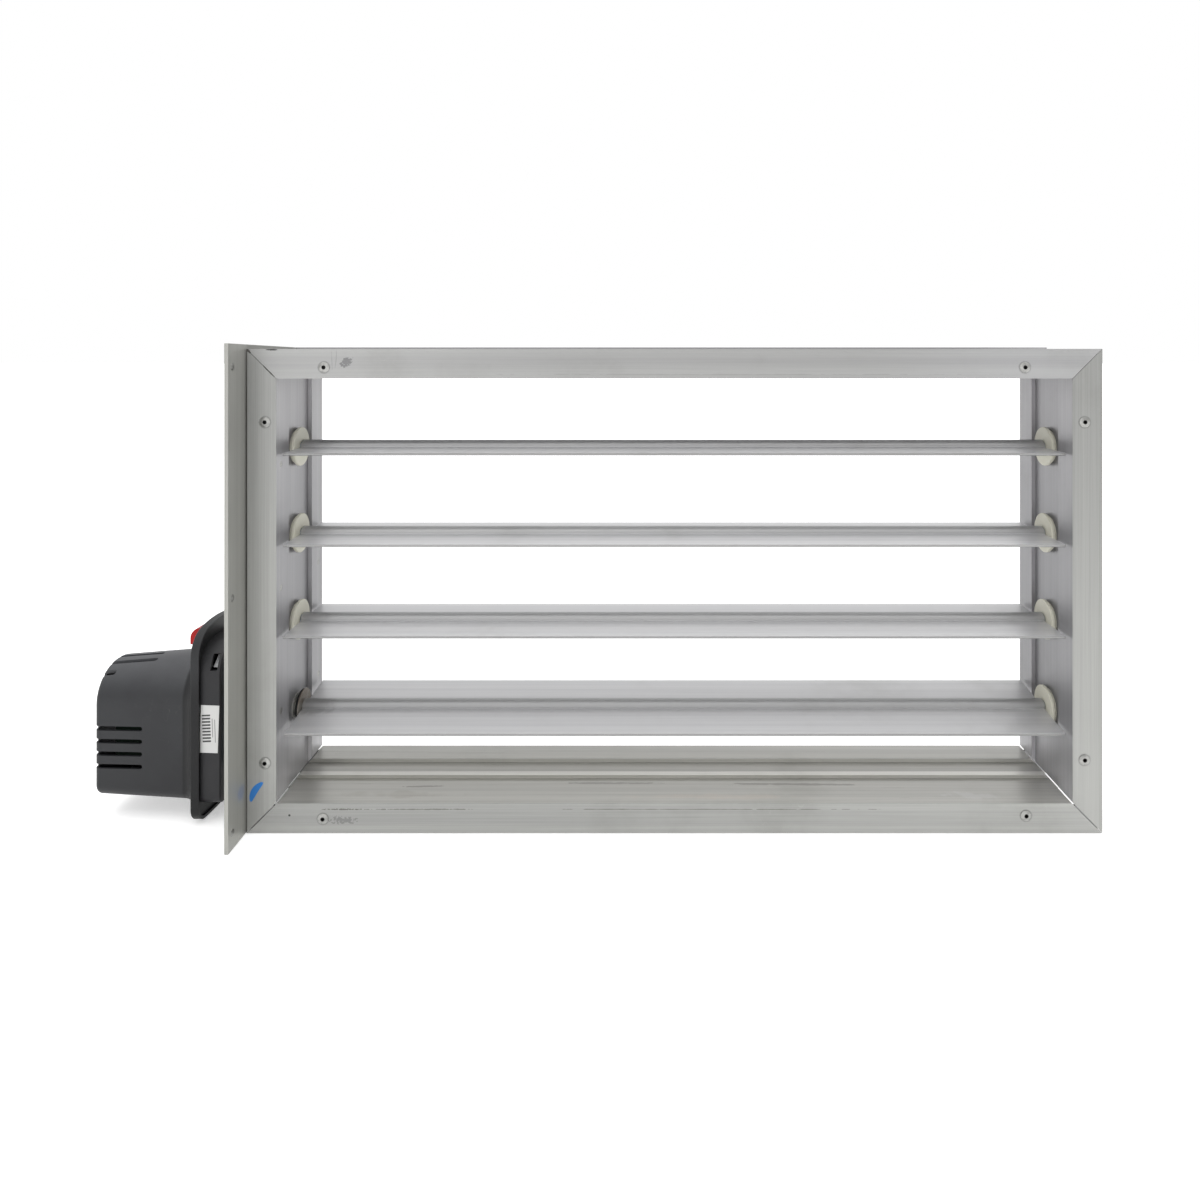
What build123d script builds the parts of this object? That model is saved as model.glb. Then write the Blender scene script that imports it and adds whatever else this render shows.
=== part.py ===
from build123d import *
import math
import os

os.makedirs("parts", exist_ok=True)

# Frame: four mitred channel extrusions round a 750 x 400 duct opening, millimetres
opening_width = 750.0
opening_height = 400.0
flange_height = 28.0
frame_depth = 112.0
wall = 2.0
recess_depth = 4.0
recess_half = 28.0
rib_half = 3.5
rib_crest = 0.6
sill_recess_front = 16.0

# Blades: four single-skin extrusions that overlap by eleven millimetres when shut
blade_heights = [357.0, 270.0, 183.0, 96.0]
blade_tilts = [0.0, 0.0, 0.0, 7.0]
blade_chord = 98.0
blade_skin = 1.8
blade_end_gap = 3.0
boss_radius = 6.8
shaft_radius = 5.0
fit = 0.05

# Linkage in the left channel: one crank on each shaft, joined by a tie bar
crank_radius = 30.0
crank_rest = -41.5
pin_radius = 3.0
open_pivot_radius = 3.3

# Side plate and the actuator that hangs on the lowest shaft; reaches start at the plate's outer face
plate_gap = 0.8
plate_thickness = 3.5
plate_reach = 33.0
plate_rise = 5.5
actuator_height = 96.0
actuator_reach = 152.3
base_start = 27.2
lip_start = 46.0
floor_start = 48.2
floor_end = 54.5
flare_end = 66.0
shell = 2.5

half_width = opening_width / 2
half_depth = frame_depth / 2
outer_half = half_width + flange_height
frame_height = opening_height + 2 * flange_height
sill = flange_height
lintel = flange_height + opening_height
plate_inner = -outer_half - plate_gap
plate_outer = plate_inner - plate_thickness

# The whole is centred on its own bounding box, so the duct axis stands off the origin
duct_x = (plate_gap + plate_thickness + actuator_reach) / 2
duct_y = plate_reach / 2


# Planes: across the blades, facing the viewer, level, and outward through the actuator
def across(x, z=0.0, tilt=0.0):
    lean = math.radians(tilt)
    start = (duct_x + x, duct_y, z)
    return Plane(origin=start, x_dir=(0, math.cos(lean), math.sin(lean)), z_dir=(1, 0, 0))


def facing(y):
    return Plane(origin=(duct_x, duct_y + y, 0), x_dir=(1, 0, 0), z_dir=(0, -1, 0))


def level(z):
    return Plane(origin=(duct_x, duct_y, z), x_dir=(1, 0, 0), z_dir=(0, 0, 1))


def outward(reach):
    start = (duct_x + plate_outer - reach, duct_y, 0)
    return Plane(origin=start, x_dir=(0, -1, 0), z_dir=(-1, 0, 0))


def save(piece, label):
    piece.part.label = label
    export_step(piece.part, "parts/" + label + ".step")


def polygon(points):
    with BuildLine() as outline:
        Polyline(points, close=True)
    make_face(outline.edges())


# Channel section as depth and outward distance from the opening
def channel_section(ribbed):
    d, r, w = half_depth, recess_half, wall
    f = sill_recess_front if ribbed else recess_half
    front = [(-d, flange_height), (-d, 0), (-f, 0), (-f, recess_depth)]
    rib = [(-rib_half, recess_depth), (-rib_half, rib_crest), (rib_half, rib_crest), (rib_half, recess_depth)]
    rear = [(r, recess_depth), (r, 0), (d, 0), (d, flange_height)]
    back = [(d - w, flange_height), (d - w, w), (r + w, w), (r + w, recess_depth + w)]
    inner = [(-f - w, recess_depth + w), (-f - w, w), (-d + w, w), (-d + w, flange_height)]
    return front + (rib if ribbed else []) + rear + back + inner


# Rivet places on the front flanges, one for each leg of each corner cleat
side_out = half_width + 10.5
rivet_spots = [
    (-330.0, lintel + 10.6),
    (330.0, lintel + 10.6),
    (-side_out, frame_height - 69.0),
    (side_out + 0.8, frame_height - 69.0),
    (-side_out, 66.0),
    (side_out + 0.5, 69.0),
    (-331.0, 13.5),
    (331.0, 16.5),
]
rivet_hole = 2.45
countersink = 4.4

mitre_outer = 0.15
mitre_top = 0.25
mitre_bottom = 0.9


# One frame member: its section run full length, then mitred, bored and drilled
def frame_member(side):
    with BuildPart() as member:
        if side in ("bottom", "top"):
            with BuildSketch(across(-outer_half)):
                if side == "bottom":
                    polygon([(y, sill - out) for y, out in channel_section(True)])
                else:
                    polygon([(y, lintel + out) for y, out in channel_section(True)])
            extrude(amount=2 * outer_half)
        else:
            sign = -1 if side == "left" else 1
            with BuildSketch(level(0)):
                polygon([(sign * (half_width + out), y) for y, out in channel_section(False)])
            extrude(amount=frame_height)
        a, b = outer_half, half_width
        low, high = mitre_bottom, mitre_top
        g = mitre_outer
        ends = {
            "bottom": [(-a + g, 0), (a - g, 0), (b - low, sill), (-b + low, sill)],
            "top": [(-a + g, frame_height), (a - g, frame_height), (b - high, lintel), (-b + high, lintel)],
            "left": [(-a, g), (-a, frame_height - g), (-b, lintel - high), (-b, sill + low)],
            "right": [(a, g), (a, frame_height - g), (b, lintel - high), (b, sill + low)],
        }
        with BuildSketch(facing(-half_depth - 1)):
            polygon(ends[side])
        extrude(amount=-frame_depth - 2, mode=Mode.INTERSECT)
        if side in ("left", "right"):
            start = -outer_half if side == "left" else half_width - 1
            with BuildSketch(across(start)):
                with Locations([(0, z) for z in blade_heights]):
                    Circle(11.2)
            extrude(amount=flange_height + 1, mode=Mode.SUBTRACT)
        with BuildSketch(facing(-half_depth - 1)):
            with Locations(rivet_spots):
                Circle(rivet_hole)
        extrude(amount=-wall - 1.5, mode=Mode.SUBTRACT)
        with BuildSketch(facing(half_depth - wall - 0.5)):
            with Locations(rivet_spots):
                Circle(rivet_hole)
        extrude(amount=-wall - 1, mode=Mode.SUBTRACT)
        with BuildSketch(facing(half_depth)):
            with Locations(rivet_spots):
                Circle(countersink)
        extrude(amount=wall, taper=45, mode=Mode.SUBTRACT)
        if side == "left":
            with BuildSketch(across(-half_width - wall - 1)):
                with Locations(standoff_spots):
                    Circle(3.0)
            extrude(amount=wall + 2, mode=Mode.SUBTRACT)
    save(member, "frame_" + side)


standoff_spots = [(y, z) for y in (-45.5, 45.5) for z in (110.0, 228.0, 346.0)]
for side in ("bottom", "top", "left", "right"):
    frame_member(side)


# Corner cleats: flat L plates behind the flanges, four at the front and four at the rear
def corner_cleats(label, y):
    reach, inner, outer = 92.0, 3.5, 24.5
    with BuildPart() as cleats:
        with BuildSketch(facing(y)):
            for sx in (-1, 1):
                for top in (False, True):
                    corner = [
                        (outer, outer),
                        (outer - reach + 3.5, outer),
                        (outer - reach + 3.5, inner),
                        (inner, inner),
                        (inner, outer - reach + 3.5),
                        (outer, outer - reach + 3.5),
                    ]
                    if top:
                        points = [(sx * (half_width + u), lintel + v) for u, v in corner]
                    else:
                        points = [(sx * (half_width + u), sill - v) for u, v in corner]
                    polygon(points)
        extrude(amount=-3.0)
        with BuildSketch(facing(y)):
            with Locations(rivet_spots):
                Circle(rivet_hole)
        extrude(amount=-3.0, mode=Mode.SUBTRACT)
    save(cleats, label)


corner_cleats("corner_cleats_front", -half_depth + wall)
corner_cleats("corner_cleats_rear", half_depth - wall - 3.0)

# Front blind rivets: domed head with the open mandrel hole, shank and upset tail
with BuildPart() as front_rivets:
    for x, z in rivet_spots:
        section = Plane(origin=(duct_x + x, duct_y - half_depth, z), x_dir=(1, 0, 0), z_dir=(0, 0, 1))
        with BuildSketch(section):
            with BuildLine():
                Polyline((1.75, -1.15), (1.75, 3.0), (0.0, 3.0), (0.0, 8.0), (3.2, 8.0))
                Polyline((3.2, 8.0), (3.2, 5.05), (2.4, 5.05), (2.4, 0.0), (5.0, 0.0), (5.0, -0.35))
                ThreePointArc((5.0, -0.35), (3.5, -1.0), (1.75, -1.15))
            make_face()
        axis = Axis((duct_x + x, duct_y, z), (0, 1, 0))
        revolve(axis=axis)
save(front_rivets, "front_rivets")

# Rear rivets are countersunk, so the rear flange stays flat
with BuildPart() as rear_rivets:
    for x, z in rivet_spots:
        section = Plane(origin=(duct_x + x, duct_y + half_depth, z), x_dir=(1, 0, 0), z_dir=(0, 0, 1))
        with BuildSketch(section):
            with BuildLine():
                Polyline(
                    (0.0, -0.1),
                    (4.2, -0.1),
                    (2.4, -1.9),
                    (2.4, -5.05),
                    (3.2, -5.05),
                    (3.2, -8.0),
                    (0.0, -8.0),
                    close=True,
                )
            make_face()
        axis = Axis((duct_x + x, duct_y, z), (0, 1, 0))
        revolve(axis=axis)
save(rear_rivets, "rear_rivets")


# Nylon bearing: a disc with an undercut rim, or the drive's plain collar, and a barrel through the web
bore = shaft_radius + fit
bearing_disc = [(-1.5, bore), (-1.5, 18.9), (-1.1, 19.3), (1.1, 19.3), (1.1, 16.8), (recess_depth, 16.8)]
drive_collar = [(-2.7, bore), (-2.7, 8.0), (2.5, 8.0), (2.5, 12.5), (recess_depth, 12.5)]


def bearing(label, z, sign, flange):
    with BuildPart() as bush:
        start = (duct_x + sign * half_width, duct_y, z)
        section = Plane(origin=start, x_dir=(sign, 0, 0), z_dir=(0, -sign, 0))
        with BuildSketch(section):
            with BuildLine():
                Polyline(
                    *flange,
                    (recess_depth, 11.0),
                    (recess_depth + wall + 0.3, 11.0),
                    (recess_depth + wall + 0.6, 11.8),
                    (recess_depth + wall + 1.4, 11.8),
                    (recess_depth + wall + 1.9, 11.0),
                    (10.0, 11.0),
                    (10.0, bore),
                    close=True,
                )
            make_face()
        revolve(axis=Axis((duct_x, duct_y, z), (1, 0, 0)))
    save(bush, label)


for number, z in enumerate(blade_heights, start=1):
    drive = number == 4
    bearing(f"bearing_left_{number}", z, -1, drive_collar if drive else bearing_disc)
    bearing(f"bearing_right_{number}", z, 1, bearing_disc)


# Blade: flat skin just under the shaft line, round boss, and a lip under each long edge
def blade(label, z, tilt, left_end):
    half = blade_chord / 2
    right_end = half_width - blade_end_gap
    with BuildPart() as leaf:
        with BuildSketch(across(left_end, z, tilt)):
            with Locations((0, -0.1 - blade_skin / 2)):
                Rectangle(blade_chord - 2.6, blade_skin)
            Circle(boss_radius)
            with Locations((-half + 1.3, -1.4), (half - 1.3, -1.4)):
                Circle(1.3)
            Circle(shaft_radius + fit, mode=Mode.SUBTRACT)
        extrude(amount=right_end - left_end)
    save(leaf, label)


def round_bar(label, z, start, end, radius):
    with BuildPart() as bar:
        with BuildSketch(across(start, z)):
            Circle(radius)
        extrude(amount=end - start)
        chamfer(bar.edges().filter_by(GeomType.CIRCLE), 0.6)
    save(bar, label)


crank_hub_inner = -half_width - 10.6
crank_plate = -half_width - 16.4


# Crank: clamped hub, flat arm and the stud that carries the tie bar
def crank(label, z):
    lean = math.radians(crank_rest)
    pin = (crank_radius * math.cos(lean), crank_radius * math.sin(lean))
    away = (-math.cos(lean), -math.sin(lean))
    with BuildPart() as arm:
        with BuildSketch(across(crank_hub_inner, z)):
            Circle(10.0)
        extrude(amount=-8.4)
        with BuildSketch(across(crank_plate + 3.0, z)):
            Circle(10.0)
            with Locations(pin):
                Circle(8.0)
            with BuildLine():
                side = (-math.sin(lean), math.cos(lean))
                Polyline(
                    (9.5 * side[0], 9.5 * side[1]),
                    (pin[0] + 7.8 * side[0], pin[1] + 7.8 * side[1]),
                    (pin[0] - 7.8 * side[0], pin[1] - 7.8 * side[1]),
                    (-9.5 * side[0], -9.5 * side[1]),
                    close=True,
                )
            make_face()
        extrude(amount=-3.0)
        with BuildSketch(across(crank_plate + 0.1, z)):
            with Locations(pin):
                Circle(pin_radius)
        extrude(amount=-5.2)
        with BuildSketch(across(crank_plate + 0.1, z)):
            with Locations(pin):
                Circle(4.6)
        extrude(amount=-0.5)
        with BuildSketch(across(crank_plate - 4.0, z)):
            with Locations(pin):
                Circle(5.0)
        extrude(amount=-1.6)
        with BuildSketch(across(crank_hub_inner + 1, z)):
            Circle(shaft_radius + fit)
        extrude(amount=-12.0, mode=Mode.SUBTRACT)
        screw_plane = Plane(
            origin=(duct_x + crank_hub_inner - 4.2, duct_y, z),
            x_dir=(1, 0, 0),
            z_dir=(0, away[0], away[1]),
        )
        with BuildSketch(screw_plane):
            Circle(2.55)
        extrude(amount=14.0, mode=Mode.SUBTRACT)
    save(arm, label)
    with BuildPart() as screw:
        with BuildSketch(screw_plane.offset(shaft_radius + 0.15)):
            Circle(2.5)
        extrude(amount=6.0)
        with BuildSketch(screw_plane.offset(10.1)):
            Circle(4.0)
        extrude(amount=2.8)
        with BuildSketch(screw_plane.offset(11.2)):
            RegularPolygon(2.2, 6)
        extrude(amount=3.0, mode=Mode.SUBTRACT)
    save(screw, label.replace("crank", "crank_screw"))


for number, z in enumerate(blade_heights, start=1):
    tilt = blade_tilts[number - 1]
    drive = number == 4
    left_end = -half_width + (4.2 if drive else blade_end_gap)
    blade(f"blade_{number}", z, tilt, left_end)
    shaft_left = plate_outer - 56.0 if drive else -half_width - 19.6
    round_bar("drive_shaft" if drive else f"shaft_{number}", z, shaft_left, half_width + 13.0, shaft_radius)
    crank(f"crank_{number}", z)

# Steel washer between the drive blade and its bearing
with BuildPart() as drive_washer:
    with BuildSketch(across(-half_width + 2.8, actuator_height)):
        Circle(16.3)
        Circle(shaft_radius + fit, mode=Mode.SUBTRACT)
    extrude(amount=1.2)
    chamfer(drive_washer.edges().filter_by(GeomType.CIRCLE).sort_by(SortBy.RADIUS)[-2:], 0.25)
save(drive_washer, "drive_washer")

# Tie bar: flat strip with four pivot holes, close on the drive crank and free on the others
lean = math.radians(crank_rest)
pin_y = crank_radius * math.cos(lean)
pin_z = crank_radius * math.sin(lean)
bar_mid = (blade_heights[0] + blade_heights[3]) / 2 + pin_z
bar_span = blade_heights[0] - blade_heights[3]
with BuildPart() as tie_bar:
    with BuildSketch(across(crank_plate - 0.6)):
        with Locations((pin_y, bar_mid)):
            SlotCenterToCenter(bar_span, 14.0, rotation=90)
        with Locations([(pin_y, z + pin_z) for z in blade_heights[:3]]):
            Circle(open_pivot_radius, mode=Mode.SUBTRACT)
        with Locations((pin_y, blade_heights[3] + pin_z)):
            Circle(pin_radius + fit, mode=Mode.SUBTRACT)
    extrude(amount=-3.0)
save(tie_bar, "tie_bar")

# Side plate: flat, standing forward of the frame, its top edge falling towards the rear
plate_front = -half_depth - plate_reach
plate_spots = [(plate_front + 8.0, z) for z in (15.0, 229.0, 440.0)]
bracket_spots = [(y, z) for y in (-20.0, 20.0) for z in (46.0, 152.0)]
with BuildPart() as side_plate:
    with BuildSketch(across(plate_outer)):
        polygon(
            [
                (plate_front, 0),
                (half_depth, 0),
                (half_depth, frame_height),
                (plate_front, frame_height + plate_rise),
            ]
        )
        with Locations((0, actuator_height)):
            Circle(9.0, mode=Mode.SUBTRACT)
        with Locations(plate_spots):
            Circle(2.45, mode=Mode.SUBTRACT)
        with Locations(standoff_spots):
            Circle(2.7, mode=Mode.SUBTRACT)
        with Locations(bracket_spots):
            Circle(2.1, mode=Mode.SUBTRACT)
    extrude(amount=plate_thickness)
save(side_plate, "side_plate")

# Rivets left in the plate's forward strip
with BuildPart() as plate_rivets:
    for y, z in plate_spots:
        middle = (duct_x + plate_outer, duct_y + y, z)
        with BuildSketch(Plane(origin=middle, x_dir=(1, 0, 0), z_dir=(0, -1, 0))):
            with BuildLine():
                Line((-1.0, 0.0), (4.7, 0.0))
                ThreePointArc((4.7, 0.0), (4.3, 2.2), (3.5, 3.4))
                Polyline((3.5, 3.4), (3.5, 2.4), (0.0, 2.4), (0.0, 3.6), (-1.0, 3.2), (-1.0, 0.0))
            make_face()
        revolve(axis=Axis(middle, (1, 0, 0)))
save(plate_rivets, "plate_rivets")

# Clinched standoffs in the left web, and the screws that hold the plate to them
with BuildPart() as standoffs:
    with BuildSketch(across(-half_width - wall)):
        with Locations(standoff_spots):
            Circle(5.0)
    extrude(amount=-(flange_height - wall + plate_gap))
    with BuildSketch(across(-half_width - wall)):
        with Locations(standoff_spots):
            Circle(2.95)
    extrude(amount=wall - 0.1)
    with BuildSketch(across(plate_inner)):
        with Locations(standoff_spots):
            Circle(2.55)
    extrude(amount=14.0, mode=Mode.SUBTRACT)
save(standoffs, "standoffs")

with BuildPart() as plate_screws:
    with BuildSketch(outward(-plate_thickness - 12.0)):
        with Locations([(-y, z) for y, z in standoff_spots]):
            Circle(2.5)
    extrude(amount=12.0 + plate_thickness + 0.5)
    with BuildSketch(outward(0.0)):
        with Locations([(-y, z) for y, z in standoff_spots]):
            Circle(4.75)
    extrude(amount=2.6)
    chamfer(plate_screws.faces().filter_by(Axis.X).group_by(Axis.X)[0].edges(), 0.9)
    with BuildSketch(outward(1.2)):
        with Locations([(-y, z) for y, z in standoff_spots]):
            RegularPolygon(1.9, 6)
    extrude(amount=2.0, mode=Mode.SUBTRACT)
save(plate_screws, "plate_screws")


# Housing outline: bowed crown and belly, wide shoulders, tighter lower corners
def housing(half, low, high, crown, belly, shoulder, corner):
    with BuildSketch(mode=Mode.PRIVATE) as outline:
        with BuildLine():
            ThreePointArc((-half, low + belly), (0, low), (half, low + belly))
            Line((half, low + belly), (half, high - crown))
            ThreePointArc((half, high - crown), (0, high), (-half, high - crown))
            Line((-half, high - crown), (-half, low + belly))
        make_face()
        fillet(outline.vertices().sort_by(Axis.Y)[-2:], shoulder)
        fillet(outline.vertices().sort_by(Axis.Y)[:2], corner)
    add(outline.sketch_local)


def body_outline(inset, grow=0.0):
    step = inset - grow
    housing(39.5 - step, 18.3 + step, 151.5 - step, 1.0, 1.5, 38.0 - step, 12.0 - step)


def end_outline(inset):
    housing(36.0 - inset, 21.5 + inset, 145.0 - inset, 1.0, 1.5, 34.5 - inset, 12.0 - inset)


def base_outline(inset):
    housing(42.0 - inset, 17.0 + inset, 171.0 - inset, 8.0, 2.0, 28.0 - inset, 8.0 - inset)


slot_heights = [89.5, 77.2, 65.1, 53.0]
slot_width = 4.3
slot_start = 104.8
notch_start = 139.0
crown_slots = [(0.0, 137.0), (-12.0, 134.0), (12.0, 134.0)]
crown_notches = [-22.9, 22.9]
post_spots = [(-27.5, 40.0), (27.5, 40.0), (-27.5, 118.0), (27.5, 118.0)]
stem_place = (12.0, 164.0)

# Actuator cover: lipped flange, flared foot, drafted body, vents that run over the end
with BuildPart() as actuator_cover:
    with BuildSketch(outward(lip_start)):
        housing(46.0, 0.5, 187.0, 8.0, 3.0, 26.0, 13.0)
    extrude(amount=floor_end - lip_start)
    fillet(actuator_cover.faces().sort_by(Axis.X)[0].edges(), 1.6)
    with BuildSketch(outward(floor_end - 0.5)):
        body_outline(0, 5.0)
    with BuildSketch(outward(floor_end + 4.0)):
        body_outline(0, 1.8)
    with BuildSketch(outward(flare_end)):
        body_outline(0)
    loft()
    with BuildSketch(outward(flare_end)):
        body_outline(0)
    with BuildSketch(outward(actuator_reach)):
        end_outline(0)
    loft()
    fillet(actuator_cover.faces().sort_by(Axis.X)[0].edges(), 5.0)
    with BuildSketch(outward(lip_start)):
        housing(43.5, 3.0, 184.5, 8.0, 3.0, 23.5, 10.5)
    extrude(amount=floor_start - lip_start, mode=Mode.SUBTRACT)
    with BuildSketch(outward(floor_start)):
        body_outline(shell)
    with BuildSketch(outward(flare_end)):
        body_outline(shell)
    loft(mode=Mode.SUBTRACT)
    with BuildSketch(outward(flare_end)):
        body_outline(shell)
    with BuildSketch(outward(actuator_reach - shell)):
        end_outline(shell)
    loft(mode=Mode.SUBTRACT)
    with BuildSketch(outward(floor_start)):
        with Locations(post_spots):
            Circle(4.0)
    extrude(amount=actuator_reach - shell - floor_start + 0.5)
    with BuildSketch(outward(floor_start)):
        with Locations(post_spots):
            Circle(1.8)
    extrude(amount=22.0, mode=Mode.SUBTRACT)
    slot_length = actuator_reach + 8.0 - slot_start
    slot_middle = plate_outer - slot_start - slot_length / 2
    for face, depth in ((-42.0, -12.0), (42.0, 12.0)):
        with BuildSketch(facing(face)):
            with Locations([(slot_middle, z) for z in slot_heights]):
                SlotOverall(slot_length, slot_width)
        extrude(amount=depth, mode=Mode.SUBTRACT)
    for y, bottom in crown_slots:
        with BuildSketch(level(bottom)):
            with Locations((slot_middle, y)):
                SlotOverall(slot_length, slot_width)
        extrude(amount=155.0 - bottom, mode=Mode.SUBTRACT)
    with BuildSketch(level(125.5)):
        with Locations([(plate_outer - notch_start - 10.0, y) for y in crown_notches]):
            SlotOverall(20.0, slot_width)
    extrude(amount=30.0, mode=Mode.SUBTRACT)
    with BuildSketch(outward(lip_start)):
        with Locations(stem_place):
            Rectangle(7.6, 7.6)
    extrude(amount=10.0, mode=Mode.SUBTRACT)
    with BuildSketch(facing(60.0)):
        with Locations((plate_outer - 100.0, 48.0)):
            Circle(6.1)
    extrude(amount=27.0, mode=Mode.SUBTRACT)
save(actuator_cover, "actuator_cover")

# Actuator base: tray behind the cover, with a window, the hub's hole and screw posts
with BuildPart() as actuator_base:
    with BuildSketch(outward(base_start)):
        base_outline(0)
    extrude(amount=floor_start - base_start)
    chamfer(actuator_base.faces().sort_by(Axis.X)[-1].edges(), 1.2)
    with BuildSketch(outward(base_start + shell)):
        base_outline(3.0)
    extrude(amount=floor_start - base_start - shell, mode=Mode.SUBTRACT)
    with BuildSketch(outward(base_start + shell - 0.1)):
        with Locations(post_spots):
            Circle(5.0)
    extrude(amount=floor_start - base_start - shell + 0.1)
    with BuildSketch(outward(base_start)):
        with Locations(post_spots):
            Circle(2.1)
        with Locations((0, actuator_height)):
            Circle(14.0 + fit)
    extrude(amount=floor_start - base_start, mode=Mode.SUBTRACT)
    with BuildSketch(outward(base_start)):
        with Locations(post_spots):
            Circle(4.0)
    extrude(amount=3.5, mode=Mode.SUBTRACT)
    with BuildSketch(outward(30.0)):
        with Locations(stem_place):
            Rectangle(8.0, 8.0)
    extrude(amount=floor_start - 30.0, mode=Mode.SUBTRACT)
    with BuildSketch(facing(-60.0)):
        with Locations((plate_outer - 34.0, 154.0)):
            Rectangle(6.5, 14.0)
    extrude(amount=-38.0, mode=Mode.SUBTRACT)
save(actuator_base, "actuator_base")

with BuildPart() as cover_screws:
    with BuildSketch(outward(base_start + 3.4)):
        with Locations(post_spots):
            Circle(1.75)
    extrude(amount=37.0)
    with BuildSketch(outward(base_start + 1.0)):
        with Locations(post_spots):
            Circle(3.6)
    extrude(amount=2.45)
    for angle in (0, 90):
        with BuildSketch(outward(base_start + 1.0)):
            with Locations(post_spots):
                Rectangle(4.6, 1.0, rotation=angle)
        extrude(amount=1.4, mode=Mode.SUBTRACT)
save(cover_screws, "cover_screws")

# Bright spring strip behind the base's window
with BuildPart() as window_strip:
    with BuildSketch(outward(base_start + shell)):
        with Locations((29.5, 152.0)):
            Rectangle(1.0, 13.0, rotation=47)
    extrude(amount=8.0)
save(window_strip, "window_strip")

# Blank label on the base's front side
with BuildPart() as side_label:
    with BuildSketch(facing(-42.0)):
        with Locations((plate_outer - 37.8, 91.5)):
            Rectangle(17.5, 45.5, rotation=-2)
    extrude(amount=0.25)
save(side_label, "side_label")

# Hollow output hub, free to turn in the base
with BuildPart() as output_hub:
    middle = (duct_x + plate_outer, duct_y, actuator_height)
    with BuildSketch(Plane(origin=middle, x_dir=(-1, 0, 0), z_dir=(0, -1, 0))):
        with BuildLine():
            Polyline(
                (14.0, bore),
                (14.0, 13.4),
                (14.6, 14.0),
                (base_start + shell + 0.1, 14.0),
                (base_start + shell + 0.1, 19.0),
                (34.0, 19.0),
                (34.0, 12.0),
                (58.0, 12.0),
                (58.0, bore),
                close=True,
            )
        make_face()
    revolve(axis=Axis((duct_x, duct_y, actuator_height), (1, 0, 0)))
save(output_hub, "output_hub")

# Shaft clamp: notched jaw, U bolt under the shaft, two nuts
leg = 8.3
with BuildPart() as clamp_jaw:
    with BuildSketch(outward(3.0)):
        with Locations((0, actuator_height + 9.75)):
            Rectangle(28.0, 12.5)
        polygon([(-7.5, actuator_height - 0.3), (0, actuator_height + 7.2), (7.5, actuator_height - 0.3)])
    extrude(amount=10.5)
    with BuildSketch(outward(3.0)):
        polygon([(-9.0, actuator_height - 1.8), (0, actuator_height + 7.2), (9.0, actuator_height - 1.8)])
    extrude(amount=10.5, mode=Mode.SUBTRACT)
    with BuildSketch(level(actuator_height + 20.0)):
        with Locations((plate_outer - 8.25, -leg), (plate_outer - 8.25, leg)):
            Circle(3.05)
    extrude(amount=-24.0, mode=Mode.SUBTRACT)
save(clamp_jaw, "clamp_jaw")

with BuildPart() as clamp_bolt:
    top = actuator_height + 25.0
    with BuildLine(outward(8.25)) as path:
        Line((-leg, top), (-leg, actuator_height))
        ThreePointArc((-leg, actuator_height), (0, actuator_height - leg), (leg, actuator_height))
        Line((leg, actuator_height), (leg, top))
    with BuildSketch(Plane(origin=path.line @ 0, z_dir=path.line % 0)):
        Circle(3.0)
    sweep()
save(clamp_bolt, "clamp_bolt")

with BuildPart() as clamp_nuts:
    with BuildSketch(level(actuator_height + 16.05)):
        with Locations((plate_outer - 8.25, -leg), (plate_outer - 8.25, leg)):
            RegularPolygon(5.7, 6)
            Circle(3.05, mode=Mode.SUBTRACT)
    extrude(amount=5.0)
save(clamp_nuts, "clamp_nuts")

# Hat bracket that keeps the base from turning: web on the base, two legs, feet screwed to the plate
bracket_half = 31.0
web_low, web_high = 52.0, 146.0
sheet = 2.5
with BuildPart() as strap:
    with BuildSketch(outward(base_start - sheet)):
        with Locations((0, (web_low + web_high) / 2)):
            RectangleRounded(2 * bracket_half, web_high - web_low, 3.0)
    extrude(amount=sheet)
    with BuildSketch(outward(0.0)):
        with Locations((0, web_low + sheet / 2), (0, web_high - sheet / 2)):
            Rectangle(2 * bracket_half - 8.0, sheet)
    extrude(amount=base_start - 0.5)
    with BuildSketch(outward(0.0)):
        with Locations((0, web_low - 6.0), (0, web_high + 6.0)):
            Rectangle(2 * bracket_half - 8.0, 12.0 + sheet)
        with Locations(bracket_spots):
            Circle(2.1, mode=Mode.SUBTRACT)
    extrude(amount=sheet)
    with BuildSketch(outward(base_start - sheet)):
        with Locations((0, actuator_height)):
            Circle(15.0)
    extrude(amount=sheet, mode=Mode.SUBTRACT)
save(strap, "strap")

with BuildPart() as strap_screws:
    with BuildSketch(outward(-plate_thickness - 4.0)):
        with Locations(bracket_spots):
            Circle(2.0)
    extrude(amount=4.0 + plate_thickness + sheet + 0.1)
    with BuildSketch(outward(sheet + 0.05)):
        with Locations(bracket_spots):
            Circle(3.8)
    extrude(amount=2.4)
    for angle in (0, 90):
        with BuildSketch(outward(sheet + 0.9)):
            with Locations(bracket_spots):
                Rectangle(4.4, 0.9, rotation=angle)
        extrude(amount=2.0, mode=Mode.SUBTRACT)
save(strap_screws, "strap_screws")

# Release button: rounded knob behind the flange, its stem through a slot
with BuildPart() as release_button:
    with BuildSketch(facing(-18.0)):
        x_left = plate_outer - 69.2
        x_right = plate_outer - 58.5
        with BuildLine():
            Polyline((x_left, 163.5), (x_right, 163.5), (x_right, 180.5), (x_left + 7.5, 179.8))
            ThreePointArc((x_left + 7.5, 179.8), (x_left + 2.4, 176.4), (x_left, 170.0))
            Line((x_left, 170.0), (x_left, 163.5))
        make_face()
    extrude(amount=-12.0)
    fillet(release_button.edges().filter_by(Axis.X), 1.2)
    with BuildSketch(outward(34.0)):
        with Locations(stem_place):
            Rectangle(7.0, 7.0)
    extrude(amount=25.0)
save(release_button, "release_button")

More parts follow.
